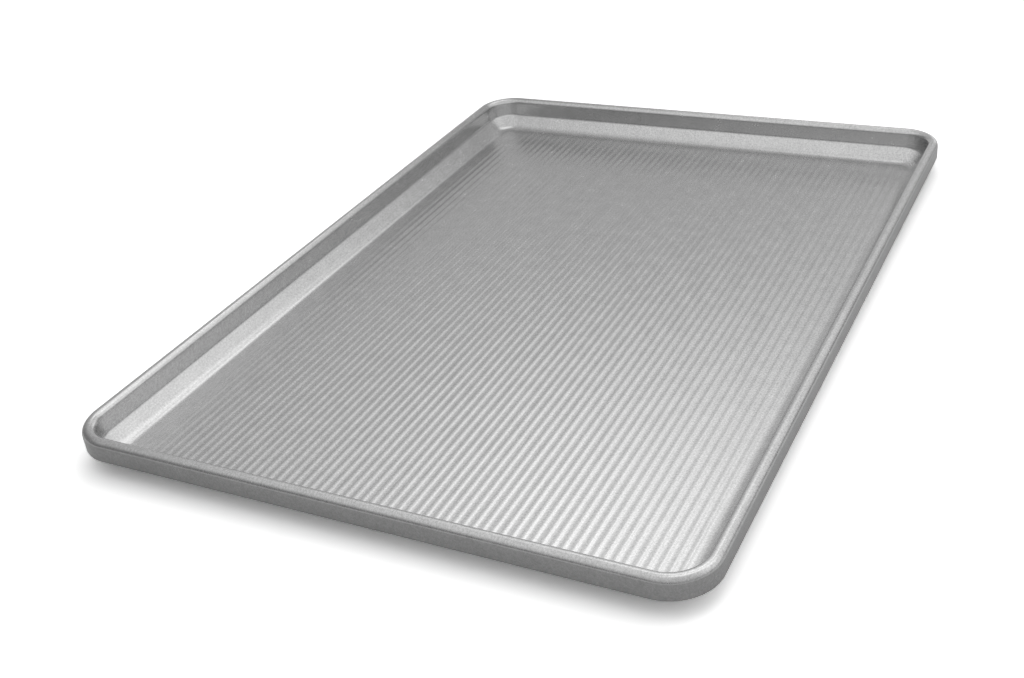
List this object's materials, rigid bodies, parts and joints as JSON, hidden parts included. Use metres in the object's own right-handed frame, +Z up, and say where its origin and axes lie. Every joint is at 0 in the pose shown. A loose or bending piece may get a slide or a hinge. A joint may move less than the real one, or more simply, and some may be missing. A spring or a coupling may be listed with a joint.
{
  "type": "jelly roll pan",
  "caption": "Shallow rectangular baking pan with a ridged floor, sloped walls and a wired rim, for thin sponge sheets.",
  "frame": {"origin": "under the middle of the pan, on the surface that it stands on", "axes": "+X along the long sides and the ridges, +Y across the pan, +Z up"},
  "size_m": [0.457, 0.322, 0.0203],
  "materials": {
    "coated_sheet": "satin light grey non-stick coating on aluminized steel sheet, with a fine speckle",
    "steel_wire": "plain drawn steel wire"
  },
  "bodies": {
    "root": {"pan_shell": "coated_sheet", "rim_wire": "steel_wire"}
  },
  "joints": []
}
